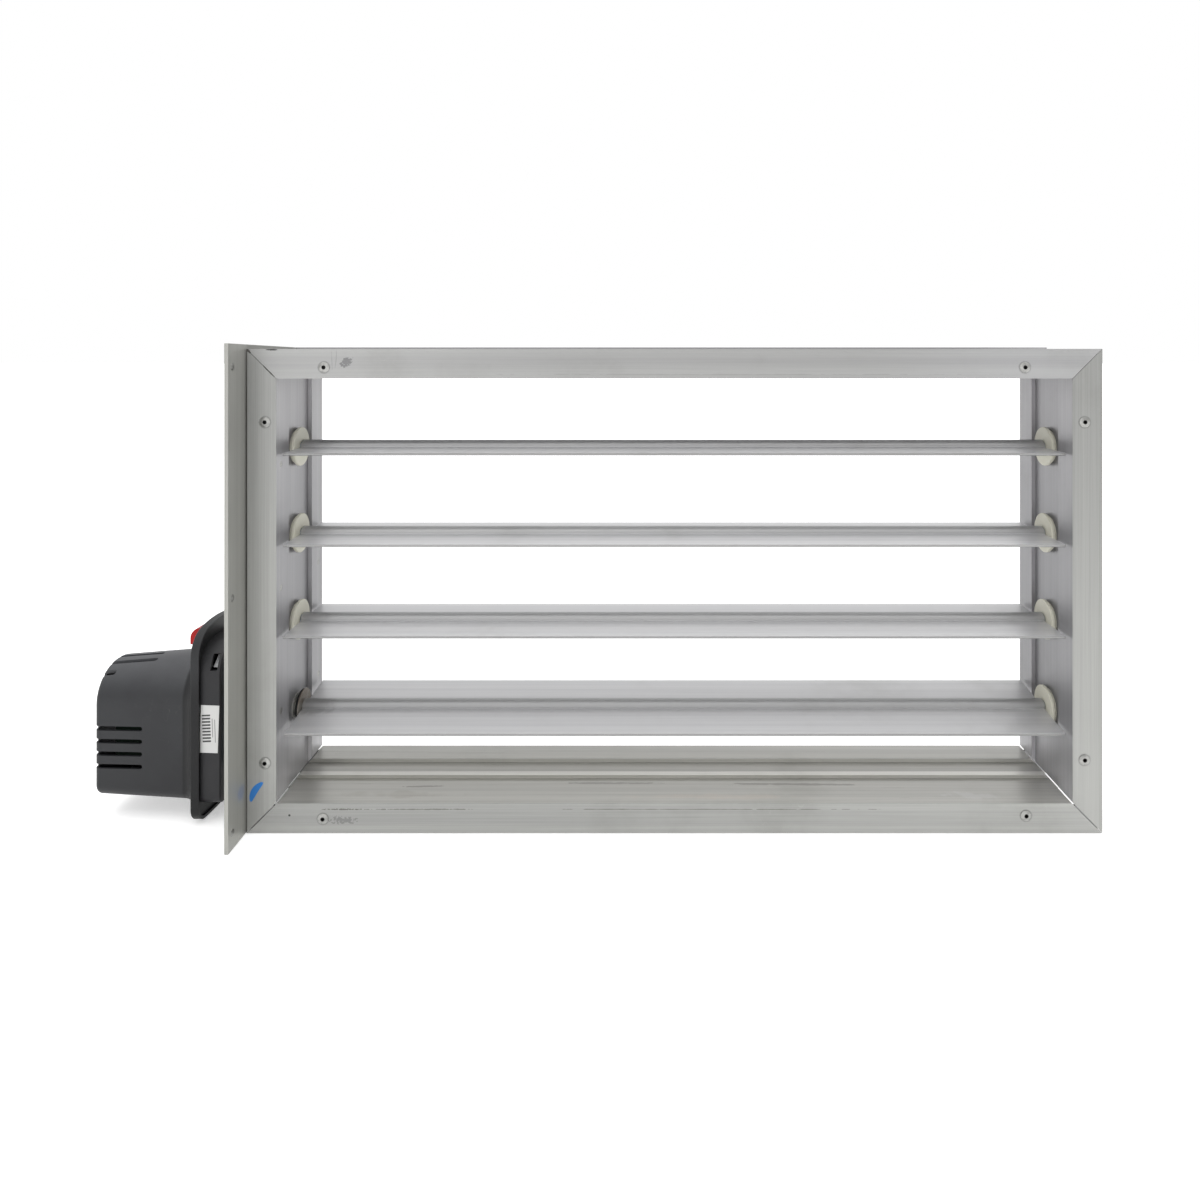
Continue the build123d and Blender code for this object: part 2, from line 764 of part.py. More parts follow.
# Inside the housing: motor, and circuit board with its larger components
motor_place = (-13.0, 60.0)
with BuildPart() as motor:
    with BuildSketch(outward(63.0)):
        with Locations(motor_place):
            Circle(13.0)
            Rectangle(26.0, 19.0, mode=Mode.INTERSECT)
    extrude(amount=46.0)
    with BuildSketch(outward(57.0)):
        with Locations(motor_place):
            Circle(3.0)
    extrude(amount=8.0)
save(motor, "motor")

board_face = -22.0
board_blocks = [(-84.0, 98.0, 14.0, 10.0, 8.0), (-114.0, 92.0, 10.0, 10.0, 10.0), (-90.0, 66.0, 20.0, 8.0, 5.0)]
with BuildPart() as circuit_board:
    with BuildSketch(facing(board_face)):
        with Locations((plate_outer - 104.0, 80.0)):
            Rectangle(72.0, 62.0)
    extrude(amount=-1.6)
    for x, z, wide, tall, high in board_blocks:
        with BuildSketch(facing(board_face)):
            with Locations((plate_outer + x, z)):
                Rectangle(wide, tall)
        extrude(amount=high)
save(circuit_board, "circuit_board")

# Blind rubber grommet in the rear of the cover
with BuildPart() as cable_grommet:
    middle = (duct_x + plate_outer - 100.0, duct_y + 37.3, 48.0)
    with BuildSketch(Plane(origin=middle, x_dir=(1, 0, 0), z_dir=(0, 0, 1))):
        polygon([(0, -1.0), (6.0, -1.0), (6.0, 1.2), (8.2, 1.2), (8.2, 3.0), (5.0, 3.4), (4.0, 1.0), (0, 1.0)])
    revolve(axis=Axis(middle, (0, 1, 0)))
save(cable_grommet, "cable_grommet")
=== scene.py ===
import bpy
import math
import numpy as np
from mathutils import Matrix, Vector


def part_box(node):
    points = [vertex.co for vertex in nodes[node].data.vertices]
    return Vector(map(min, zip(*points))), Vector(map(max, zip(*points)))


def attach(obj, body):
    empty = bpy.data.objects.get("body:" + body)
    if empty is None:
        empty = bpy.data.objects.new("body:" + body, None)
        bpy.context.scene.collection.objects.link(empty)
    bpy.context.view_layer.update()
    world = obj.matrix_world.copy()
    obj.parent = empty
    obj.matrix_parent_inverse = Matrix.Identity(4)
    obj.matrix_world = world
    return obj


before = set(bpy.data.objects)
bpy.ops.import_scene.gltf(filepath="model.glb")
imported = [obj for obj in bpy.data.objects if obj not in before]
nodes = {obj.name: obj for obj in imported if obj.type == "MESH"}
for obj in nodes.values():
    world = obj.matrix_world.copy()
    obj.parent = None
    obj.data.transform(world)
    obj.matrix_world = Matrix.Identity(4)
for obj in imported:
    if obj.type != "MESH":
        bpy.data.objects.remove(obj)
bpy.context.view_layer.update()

print("frame loaded,", len(nodes), "nodes")

# Datums, all read from the model: the frame's faces, the duct axis and the blades' axles
sillLow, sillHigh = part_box("frame_bottom")
lintelLow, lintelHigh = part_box("frame_top")
leftLow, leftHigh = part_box("frame_left")
rightLow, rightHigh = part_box("frame_right")
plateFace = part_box("side_plate")[1][0]
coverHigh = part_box("actuator_cover")[1]
frontFace, rearFace = sillLow[1], sillHigh[1]
frameLeft, frameRight = leftLow[0], sillHigh[0]
frameTop, sillTop = lintelHigh[2], sillHigh[2]
ductX = (sillLow[0] + sillHigh[0]) / 2
ductY = (frontFace + rearFace) / 2
axleBoxes = [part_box(name) for name in ("shaft_1", "shaft_2", "shaft_3", "drive_shaft")]
axleHeights = [(low[2] + high[2]) / 2 for low, high in axleBoxes]

scene = bpy.context.scene
scene.view_settings.view_transform = "Standard"


# Shader helpers

def addNode(tree, kind, **values):
    node = tree.nodes.new(kind)
    for key, value in values.items():
        if hasattr(node, key):
            setattr(node, key, value)
        else:
            node.inputs[key.replace("_", " ")].default_value = value
    return node


def join(tree, source, target):
    tree.links.new(source, target)


def mathNode(tree, operation, first, second, clamp=False):
    node = tree.nodes.new("ShaderNodeMath")
    node.operation = operation
    node.use_clamp = clamp
    for socket, value in zip(node.inputs, (first, second)):
        if isinstance(value, (int, float)):
            socket.default_value = value
        else:
            tree.links.new(value, socket)
    return node.outputs[0]


def rampNode(tree, source, low, high):
    node = tree.nodes.new("ShaderNodeMapRange")
    node.interpolation_type = "SMOOTHSTEP"
    for label, value in (("Value", source), ("From Min", low), ("From Max", high)):
        if isinstance(value, (int, float)):
            node.inputs[label].default_value = value
        else:
            tree.links.new(value, node.inputs[label])
    return node.outputs["Result"]


def mixColour(tree, factor, first, second, blend="MIX"):
    node = tree.nodes.new("ShaderNodeMix")
    node.data_type = "RGBA"
    node.blend_type = blend
    for index, value in ((0, factor), (6, first), (7, second)):
        if isinstance(value, (int, float)):
            node.inputs[index].default_value = value
        elif isinstance(value, tuple):
            node.inputs[index].default_value = (*value, 1.0)
        else:
            tree.links.new(value, node.inputs[index])
    return node.outputs[2]


# Multiplies a shade by a tint where the amount is 1 and leaves it alone where the amount is 0
def tinted(tree, shade, amount, tint):
    return mixColour(tree, 1.0, shade, mixColour(tree, amount, (1.0, 1.0, 1.0), tint), "MULTIPLY")


def newGroup(name, inputs, outputs):
    group = bpy.data.node_groups.new(name, "ShaderNodeTree")
    for label, kind, value in inputs:
        socket = group.interface.new_socket(label, in_out="INPUT", socket_type=kind)
        if value is not None:
            socket.default_value = value
    for label, kind in outputs:
        group.interface.new_socket(label, in_out="OUTPUT", socket_type=kind)
    start = group.nodes.new("NodeGroupInput")
    end = group.nodes.new("NodeGroupOutput")
    return group, start, end


def placeGroup(tree, group, vector, **values):
    node = tree.nodes.new("ShaderNodeGroup")
    node.node_tree = group
    join(tree, vector, node.inputs["Vector"])
    for key, value in values.items():
        node.inputs[key.replace("_", " ")].default_value = value
    return node


def newMaterial(name, colour, metallic, roughness, **extra):
    material = bpy.data.materials.new(name)
    material.use_nodes = True
    tree = material.node_tree
    shader = tree.nodes["Principled BSDF"]
    shader.inputs["Base Color"].default_value = (*colour, 1.0)
    shader.inputs["Metallic"].default_value = metallic
    shader.inputs["Roughness"].default_value = roughness
    for key, value in extra.items():
        shader.inputs[key.replace("_", " ")].default_value = value
    place = tree.nodes.new("ShaderNodeTexCoord").outputs["Object"]
    return material, tree, shader, place


def addBump(tree, shader, height, strength, distance, normal=None):
    bump = tree.nodes.new("ShaderNodeBump")
    bump.inputs["Strength"].default_value = strength
    bump.inputs["Distance"].default_value = distance
    join(tree, height, bump.inputs["Height"])
    if normal is not None:
        join(tree, normal, bump.inputs["Normal"])
    join(tree, bump.outputs["Normal"], shader.inputs["Normal"])
    return bump.outputs["Normal"]


# Die lines: noise drawn out along one axis, in a fine and a broad band, as extruded metal has
def makeDieLines():
    group, start, end = newGroup(
        "dieLines",
        [("Vector", "NodeSocketVector", None), ("Fine", "NodeSocketFloat", 1400.0),
         ("Broad", "NodeSocketFloat", 160.0)],
        [("Lines", "NodeSocketFloat"), ("Bands", "NodeSocketFloat")],
    )
    for label, scaleName, detail in (("Lines", "Fine", 3.0), ("Bands", "Broad", 2.0)):
        noise = addNode(group, "ShaderNodeTexNoise", Detail=detail, Roughness=0.6)
        join(group, start.outputs["Vector"], noise.inputs["Vector"])
        join(group, start.outputs[scaleName], noise.inputs["Scale"])
        join(group, noise.outputs["Fac"], end.inputs[label])
    return group


# Handling marks: soft blotches and a few short scratches
def makeHandling():
    group, start, end = newGroup(
        "handling",
        [("Vector", "NodeSocketVector", None), ("Blotch Scale", "NodeSocketFloat", 9.0),
         ("Scratch Scale", "NodeSocketFloat", 40.0)],
        [("Blotches", "NodeSocketFloat"), ("Scratches", "NodeSocketFloat")],
    )
    blotch = addNode(group, "ShaderNodeTexNoise", Detail=5.0, Roughness=0.62)
    join(group, start.outputs["Vector"], blotch.inputs["Vector"])
    join(group, start.outputs["Blotch Scale"], blotch.inputs["Scale"])
    join(group, blotch.outputs["Fac"], end.inputs["Blotches"])
    warp = addNode(group, "ShaderNodeTexNoise", Detail=1.0, Roughness=0.4, Distortion=2.2)
    join(group, start.outputs["Vector"], warp.inputs["Vector"])
    join(group, start.outputs["Scratch Scale"], warp.inputs["Scale"])
    centred = mathNode(group, "ABSOLUTE", mathNode(group, "SUBTRACT", warp.outputs["Fac"], 0.5), 0.0)
    thin = rampNode(group, centred, 0.006, 0.001)
    where = rampNode(group, blotch.outputs["Fac"], 0.6, 0.68)
    join(group, mathNode(group, "MULTIPLY", thin, where), end.inputs["Scratches"])
    return group


# One mark: a soft-edged oval about a centre, turned in its own plane and broken up by noise
def makeMark():
    group, start, end = newGroup(
        "mark",
        [("Vector", "NodeSocketVector", None), ("Centre", "NodeSocketVector", None),
         ("Turn", "NodeSocketFloat", 0.0), ("Half Length", "NodeSocketFloat", 0.01),
         ("Half Width", "NodeSocketFloat", 0.003), ("Bend", "NodeSocketFloat", 0.0),
         ("Breakup", "NodeSocketFloat", 0.3), ("Breakup Scale", "NodeSocketFloat", 400.0),
         ("Softness", "NodeSocketFloat", 0.25), ("Depth", "NodeSocketFloat", 0.002)],
        [("Mask", "NodeSocketFloat")],
    )
    away = addNode(group, "ShaderNodeVectorMath", operation="SUBTRACT")
    join(group, start.outputs["Vector"], away.inputs[0])
    join(group, start.outputs["Centre"], away.inputs[1])
    turned = addNode(group, "ShaderNodeVectorRotate", rotation_type="Y_AXIS")
    join(group, away.outputs[0], turned.inputs["Vector"])
    join(group, start.outputs["Turn"], turned.inputs["Angle"])
    parts = addNode(group, "ShaderNodeSeparateXYZ")
    join(group, turned.outputs[0], parts.inputs[0])
    along = mathNode(group, "DIVIDE", parts.outputs["X"], start.outputs["Half Length"])
    squared = mathNode(group, "MULTIPLY", along, along)
    bent = mathNode(group, "SUBTRACT", parts.outputs["Z"],
                    mathNode(group, "MULTIPLY", squared, start.outputs["Bend"]))
    across = mathNode(group, "DIVIDE", bent, start.outputs["Half Width"])
    reach = mathNode(group, "ADD", squared, mathNode(group, "MULTIPLY", across, across))
    noise = addNode(group, "ShaderNodeTexNoise", Detail=3.0)
    join(group, start.outputs["Vector"], noise.inputs["Vector"])
    join(group, start.outputs["Breakup Scale"], noise.inputs["Scale"])
    ragged = mathNode(group, "MULTIPLY", mathNode(group, "SUBTRACT", noise.outputs["Fac"], 0.5),
                      mathNode(group, "MULTIPLY", start.outputs["Breakup"], 4.0))
    inside = mathNode(group, "SUBTRACT", 1.05, start.outputs["Softness"])
    edge = rampNode(group, mathNode(group, "ADD", reach, ragged), 1.05, inside)
    off = mathNode(group, "ABSOLUTE", parts.outputs["Y"], 0.0)
    near = mathNode(group, "LESS_THAN", off, start.outputs["Depth"])
    join(group, mathNode(group, "MULTIPLY", edge, near), end.inputs["Mask"])
    return group


# Moulded grain: even fine noise for plastic skins
def makeGrain():
    group, start, end = newGroup(
        "mouldedGrain",
        [("Vector", "NodeSocketVector", None), ("Grain Scale", "NodeSocketFloat", 1500.0)],
        [("Grain", "NodeSocketFloat"), ("Cloud", "NodeSocketFloat")],
    )
    fine = addNode(group, "ShaderNodeTexNoise", Detail=2.0, Roughness=0.7)
    join(group, start.outputs["Vector"], fine.inputs["Vector"])
    join(group, start.outputs["Grain Scale"], fine.inputs["Scale"])
    join(group, fine.outputs["Fac"], end.inputs["Grain"])
    cloud = addNode(group, "ShaderNodeTexNoise", Scale=22.0, Detail=3.0)
    join(group, start.outputs["Vector"], cloud.inputs["Vector"])
    join(group, cloud.outputs["Fac"], end.inputs["Cloud"])
    return group


dieLines = makeDieLines()
handling = makeHandling()
markGroup = makeMark()
mouldedGrain = makeGrain()
print("shared finishes built")


# Marks go on flange faces as they are; a mark on a level or side face has its axes swapped first
swaps = {"front": (0, 1, 2), "level": (0, 2, 1), "side": (1, 0, 2)}


def addMarks(tree, place, shade, marks):
    axes = addNode(tree, "ShaderNodeSeparateXYZ")
    join(tree, place, axes.inputs[0])
    for mark in marks:
        order = swaps[mark["face"]]
        vector = addNode(tree, "ShaderNodeCombineXYZ")
        for target, source in enumerate(order):
            join(tree, axes.outputs[source], vector.inputs[target])
        centre = tuple(mark["at"][source] for source in order)
        halfLength, halfWidth = mark["size"]
        oval = placeGroup(
            tree, markGroup, vector.outputs[0], Centre=centre, Turn=math.radians(mark["turn"]),
            Half_Length=halfLength, Half_Width=halfWidth, Bend=mark.get("bend", 0.0),
            Breakup=mark["breakup"], Breakup_Scale=mark.get("scale", 400.0),
            Softness=mark.get("soft", 0.25), Depth=mark.get("depth", 0.002),
        )
        weight = mathNode(tree, "MULTIPLY", oval.outputs["Mask"], mark["weight"])
        shade = mixColour(tree, weight, shade, mark["colour"])
    return shade


# Mill-finish extrusion: die lines run along one axis; two tones, faint blotches, light scratches.
# Faces further in than the front flange take the inner tone, painted light and shade that sets them lighter
# or darker than the front flange, and shine a little more.
# Each entry of tones multiplies one part's colour by a tint that comes in between two places along an axis.
def extrusionMaterial(name, along, look, marks=(), innerFrom=rearFace):
    material, tree, shader, place = newMaterial(name, look["colour"], look["metallic"], look["roughness"])
    stretch = addNode(tree, "ShaderNodeMapping")
    stretch.inputs["Scale"].default_value = [look["stretch"] if axis == along else 1.0 for axis in "XYZ"]
    join(tree, place, stretch.inputs["Vector"])
    lines = placeGroup(tree, dieLines, stretch.outputs["Vector"], Fine=look["fine"], Broad=look["broad"])
    worn = placeGroup(tree, handling, place, Blotch_Scale=look["blotch"], Scratch_Scale=look["scratch"])
    bands = rampNode(tree, lines.outputs["Bands"], *look["bandSpan"])
    shade = mixColour(tree, bands, look["dark"], look["light"])
    fineShade = mixColour(tree, rampNode(tree, lines.outputs["Lines"], *look["lineSpan"]),
                          (look["lineTone"],) * 3, (1.0, 1.0, 1.0))
    shade = mixColour(tree, 1.0, shade, fineShade, "MULTIPLY")
    shade = tinted(tree, shade, rampNode(tree, worn.outputs["Blotches"], *look["soilSpan"]), look["soil"])
    scratched = mathNode(tree, "MULTIPLY", worn.outputs["Scratches"], look["scratchWeight"])
    shade = mixColour(tree, scratched, shade, look["bright"])
    rough = mathNode(tree, "MULTIPLY", lines.outputs["Lines"], look["roughSpread"])
    rough = mathNode(tree, "ADD", rough, look["roughness"] - look["roughSpread"] / 2)
    parts = addNode(tree, "ShaderNodeSeparateXYZ")
    join(tree, place, parts.inputs[0])
    inner = mathNode(tree, "GREATER_THAN", parts.outputs["Y"], innerFrom)
    outer = mathNode(tree, "SUBTRACT", 1.0, inner)
    # Painted light and shade: the inner tone on faces behind the front flange
    shade = tinted(tree, shade, inner, look["inner"])
    rough = mathNode(tree, "SUBTRACT", rough, mathNode(tree, "MULTIPLY", inner, look["innerShine"]))
    for part, axis, low, high, tint in look["tones"]:
        amount = rampNode(tree, parts.outputs[axis], low, high)
        amount = mathNode(tree, "MULTIPLY", amount, inner if part == "inner" else outer)
        shade = tinted(tree, shade, amount, tint)
    shade = addMarks(tree, place, shade, marks)
    join(tree, shade, shader.inputs["Base Color"])
    join(tree, rough, shader.inputs["Roughness"])
    addBump(tree, shader, lines.outputs["Lines"], look["bump"], look["bumpHeight"])
    return material


frameLook = {
    "colour": (0.36, 0.36, 0.355), "dark": (0.335, 0.335, 0.332), "light": (0.378, 0.378, 0.372),
    "fine": 1300.0, "broad": 90.0, "stretch": 0.006, "bandSpan": (0.3, 0.7), "lineSpan": (0.35, 0.65),
    "lineTone": 0.95, "bump": 0.12, "bumpHeight": 0.0002,
    "bright": (0.6, 0.6, 0.59), "scratch": 26.0, "scratchWeight": 0.08,
    "soil": (0.88, 0.88, 0.87), "blotch": 8.0, "soilSpan": (0.52, 0.75),
    "metallic": 0.45, "roughness": 0.44, "roughSpread": 0.12,
    "inner": (1.04, 1.03, 1.07), "innerShine": 0.04, "tones": [],
}

# The small step beside each channel's recess is painted paler, painted light over the shade that falls in the
# recess: its tone holds only between two places on one axis
step = {"depth": 0.004, "inset": 0.0001, "soft": 0.0002}


def stepPaintedLight(axis, foot, strength):
    low = foot - step["depth"] + step["inset"]
    high = foot - step["inset"]
    return [("inner", axis, low, low + step["soft"], (strength,) * 3),
            ("inner", axis, high - step["soft"], high, (1.0 / strength,) * 3)]


# Sill: painted light makes its inner faces, which face up, paler; the recess step takes painted light too
sillLook = dict(
    frameLook, innerShine=0.14, inner=(1.18, 1.16, 1.13), lineTone=0.9, broad=130.0,
    dark=(0.323, 0.325, 0.314), light=(0.374, 0.376, 0.360),
    tones=[
        ("outer", "X", ductX - 0.2, ductX + 0.35, (1.12, 1.12, 1.12)),
        ("inner", "X", ductX - 0.2, ductX + 0.35, (1.14, 1.14, 1.15)),
    ] + stepPaintedLight("Z", sillTop, 1.7),
)
lintelLook = dict(
    frameLook,
    tones=[
        ("outer", "X", ductX - 0.32, ductX - 0.10, (0.87, 0.87, 0.87)),
        ("outer", "X", ductX + 0.16, ductX + 0.33, (1.13, 1.13, 1.15)),
    ],
)
# Left member: painted shade darkens its inner walls; painted light lifts them near the bottom, near the top
# and on the recess step
leftLook = dict(
    frameLook, inner=(0.72, 0.71, 0.765), lineTone=0.91, broad=170.0,
    dark=(0.336, 0.338, 0.325), light=(0.372, 0.374, 0.358),
    tones=[
        ("outer", "Z", 0.20, 0.44, (0.88, 0.88, 0.89)),
        # Painted shadow: a dark line along the flange's outer edge, where the side plate meets it
        ("outer", "X", frameLeft + 0.0011, frameLeft + 0.0004, (0.22, 0.21, 0.19)),
        # Painted light over the shade low in the corner and under the lintel
        ("inner", "Z", 0.085, 0.03, (2.0, 2.0, 1.97)),
        ("inner", "Z", 0.30, 0.42, (1.33, 1.32, 1.31)),
    ] + stepPaintedLight("X", leftHigh[0], 1.9),
)
# Right member: painted shade darkens its inner walls as on the left; painted light lifts them near the
# bottom, near the top and on the recess step
rightLook = dict(
    leftLook,
    tones=[
        ("outer", "Z", 0.10, 0.40, (0.80, 0.80, 0.805)),
        ("outer", "Z", 0.12, 0.03, (1.1, 1.1, 1.1)),
        # Painted light over the shade low in the corner and under the lintel
        ("inner", "Z", 0.085, 0.03, (1.9, 1.9, 1.9)),
        ("inner", "Z", 0.30, 0.42, (1.28, 1.27, 1.27)),
    ] + stepPaintedLight("X", rightLow[0] + step["depth"], 1.9),
)
plateLook = dict(
    frameLook, colour=(0.37, 0.37, 0.345), dark=(0.345, 0.345, 0.32), light=(0.39, 0.39, 0.362),
    inner=(1.0, 1.0, 1.0), innerShine=0.0, roughness=0.45, broad=45.0, fine=700.0, lineTone=0.92,
    tones=[("outer", "Z", 0.1, 0.42, (0.95, 0.95, 0.96))],
)


# Marks are in metres. A mark on the front face is placed by x and z, and one on top of the sill by x and
# by how far in from the front it lies.
def frontMark(x, z, size, weight, colour, turn=0, **more):
    return {"face": "front", "at": (x, frontFace, z), "size": size, "weight": weight, "colour": colour,
            "turn": turn, **more}


def sillMark(x, inward, size, weight, colour, turn=0, **more):
    return {"face": "level", "at": (x, frontFace + inward, sillTop), "size": size, "weight": weight,
            "colour": colour, "turn": turn, "depth": 0.001, **more}


# A fine dark line along part of a mitre, dirt and painted shade in the joint's gap, measured in from the
# frame's outer corner along one edge
def mitreMark(corner, inX, inZ, start, end, width, weight, breakup):
    middle, half = (start + end) / 2, (end - start) / 2
    return frontMark(corner[0] + inX * middle, corner[1] + inZ * middle, (half * math.sqrt(2), width),
                     weight, mitreDirtAndShade, 45 * inX * inZ, breakup=breakup, scale=500.0)


# Centres of the separate solids in one node, which stand further apart than the reach
def solidCentres(name, reach):
    points = np.array([vertex.co for vertex in nodes[name].data.vertices])
    centres = []
    while len(points):
        near = np.hypot(points[:, 0] - points[0, 0], points[:, 2] - points[0, 2]) < reach
        group = points[near]
        centres.append((group.min(axis=0) + group.max(axis=0)) / 2)
        points = points[~near]
    return centres


# A dark ring on the member round each of its rivets, dirt and a painted contact shadow
def ringsWithin(low, high):
    return [
        frontMark(x, z, (rivetRing["reach"],) * 2, rivetRing["ringWeight"], rivetRing["dirtAndShadow"],
                  breakup=0.06, soft=0.55)
        for x, y, z in rivetCentres if low[0] < x < high[0] and low[2] < z < high[2]
    ]


rivetRing = {
    "apart": 0.012, "reach": 0.0064, "ringWeight": 0.5, "dirtAndShadow": (0.07, 0.07, 0.068),
    "hole": 0.0021, "holeWeight": 0.9,
}
rivetCentres = solidCentres("front_rivets", rivetRing["apart"])
markerInk = (0.005, 0.16, 0.50)
pencil = (0.12, 0.12, 0.125)
grime = (0.10, 0.095, 0.085)
# Dirt and painted shade in the mitre gaps
mitreDirtAndShade = (0.05, 0.045, 0.04)
flangeWidth = sillTop  # the sill's flange stands on the zero plane
lowerLeft, lowerRight = (frameLeft, 0.0), (frameRight, 0.0)
upperLeft, upperRight = (frameLeft, frameTop), (frameRight, frameTop)
leftMitres = [
    mitreMark(lowerLeft, 1, 1, 0.0, flangeWidth, 0.0006, 0.75, 0.2),
    mitreMark(upperLeft, 1, -1, 0.0, flangeWidth, 0.0003, 0.5, 0.4),
    mitreMark(upperLeft, 1, -1, flangeWidth / 2, flangeWidth, 0.0006, 0.85, 0.5),
    mitreMark(upperLeft, 1, -1, 0.0, 0.004, 0.0011, 0.8, 0.6),
]
rightMitres = [
    mitreMark(lowerRight, -1, 1, 0.0, flangeWidth, 0.0005, 0.6, 0.3),
    mitreMark(upperRight, -1, -1, 0.0, flangeWidth, 0.0003, 0.5, 0.4),
]

# Left member: one bent stroke of blue marker. Side plate: a painted reflection of that stroke, a soft blue
# patch.
leftMarks = [
    frontMark(frameLeft + 0.0078, 0.0400, (0.0112, 0.0032), 0.93, markerInk, 58, bend=-0.0024, breakup=0.05),
] + ringsWithin(leftLow, leftHigh) + leftMitres
rightMarks = ringsWithin(rightLow, rightHigh) + rightMitres
# Painted reflection of the marker stroke on the side plate
plateMarkerReflection = [
    {"face": "side", "at": (plateFace, frontFace - 0.0084, 0.043), "size": (0.0085, 0.0085), "turn": 0,
     "weight": 0.22, "colour": (0.05, 0.16, 0.45), "breakup": 0.2, "soft": 0.95},
]
# Sill: a fleck, broken grime along the flange's upper edge, a smudge, then streaks and stains inside
sillMarks = [
    frontMark(ductX - 0.3625, 0.0168, (0.0011, 0.0011), 0.95, (0.02, 0.02, 0.02), breakup=0.1),
    frontMark(ductX - 0.314, 0.0225, (0.017, 0.0006), 0.8, grime, breakup=1.5, scale=600.0),
    frontMark(ductX - 0.240, 0.0225, (0.050, 0.0005), 0.6, grime, breakup=1.8, scale=240.0),
    frontMark(ductX + 0.020, 0.0225, (0.150, 0.0004), 0.6, grime, breakup=1.1, scale=120.0),
    frontMark(ductX - 0.312, 0.0125, (0.012, 0.0028), 0.5, (0.12, 0.12, 0.12),
              breakup=2.6, scale=380.0),
    sillMark(ductX - 0.245, 0.030, (0.020, 0.0016), 0.45, grime, 2, breakup=0.5),
    sillMark(ductX - 0.060, 0.036, (0.045, 0.0018), 0.4, grime, breakup=0.8, scale=160.0),
    sillMark(ductX + 0.120, 0.034, (0.070, 0.0020), 0.4, grime, -1, breakup=0.8, scale=120.0),
    sillMark(ductX + 0.290, 0.014, (0.034, 0.0060), 0.22, (0.60, 0.60, 0.61), -3,
             breakup=1.4, scale=70.0, soft=1.0),
    sillMark(ductX + 0.040, 0.012, (0.085, 0.0050), 0.3, (0.50, 0.44, 0.38),
             breakup=0.9, scale=40.0, soft=0.9),
    sillMark(ductX - 0.270, 0.016, (0.070, 0.0070), 0.3, (0.26, 0.24, 0.21),
             breakup=0.9, scale=50.0, soft=0.9),
] + ringsWithin(sillLow, sillHigh) + leftMitres[:1] + rightMitres[:1]
# Lintel: a pencil scribble and two strokes by the left rivet, a scuff on the top edge, a faint long line
lintelMarks = [
    frontMark(ductX - 0.309, frameTop - 0.0125, (0.0056, 0.0036), 0.7, pencil, 30, breakup=1.3, scale=700.0),
    frontMark(ductX - 0.3185, frameTop - 0.0095, (0.0092, 0.0003), 0.4, pencil, 86, bend=0.0006, breakup=0.3),
    frontMark(ductX - 0.3225, frameTop - 0.0110, (0.0092, 0.0003), 0.35, pencil, 92, breakup=1.0),
    frontMark(ductX - 0.3790, frameTop - 0.0008, (0.0055, 0.0007), 0.95, (0.02, 0.02, 0.02),
              breakup=0.7, scale=800.0),
    frontMark(ductX + 0.05, frameTop - 0.024, (0.20, 0.0005), 0.18, grime, breakup=1.2, scale=90.0),
] + ringsWithin(lintelLow, lintelHigh) + leftMitres[1:] + rightMitres[1:]

innerStart = frontFace + 0.0008  # just behind the front faces
sillMetal = extrusionMaterial("sillMetal", "X", sillLook, sillMarks, innerStart)
lintelMetal = extrusionMaterial("lintelMetal", "X", lintelLook, lintelMarks, innerStart)
leftMetal = extrusionMaterial("leftMetal", "Z", leftLook, leftMarks, innerStart)
rightMetal = extrusionMaterial("rightMetal", "Z", rightLook, rightMarks, innerStart)
plateSheet = extrusionMaterial("plateSheet", "Z", plateLook, plateMarkerReflection)


# Blade metal: the same extrusion in a paler tone. The round hub band, the seam at its foot and the lip
# on the front edge are darkened with painted shade, each blade is brightened with its own painted light, and
# grime gathers at the blade's left end.
bladeLook = dict(
    frameLook, colour=(0.58, 0.58, 0.585), dark=(0.55, 0.55, 0.56), light=(0.61, 0.61, 0.615),
    inner=(1.0, 1.0, 1.0), innerShine=0.0, roughness=0.38, broad=150.0, metallic=0.5,
)
# Painted shade on the hub band, on the seam at its foot and on the lip's front face
bladeBand = {
    "hub": (0.61, 0.61, 0.605), "hubFrom": 0.0001, "hubTo": 0.0012,
    "seamShade": (0.78, 0.78, 0.78), "seamOut": 0.0076, "seamIn": 0.0068,
    "lip": (0.47, 0.47, 0.46), "lipStart": -0.0470, "lipTop": -0.0003,
}
# Painted light: each blade's own brightness gain
bladeLightGain = (1.04, 1.14, 1.08, 1.0)
bladeTilt = (0.0, 0.0, 0.0, 7.0)
bladeSoot = (0.12, 0.12, 0.12, 0.3)


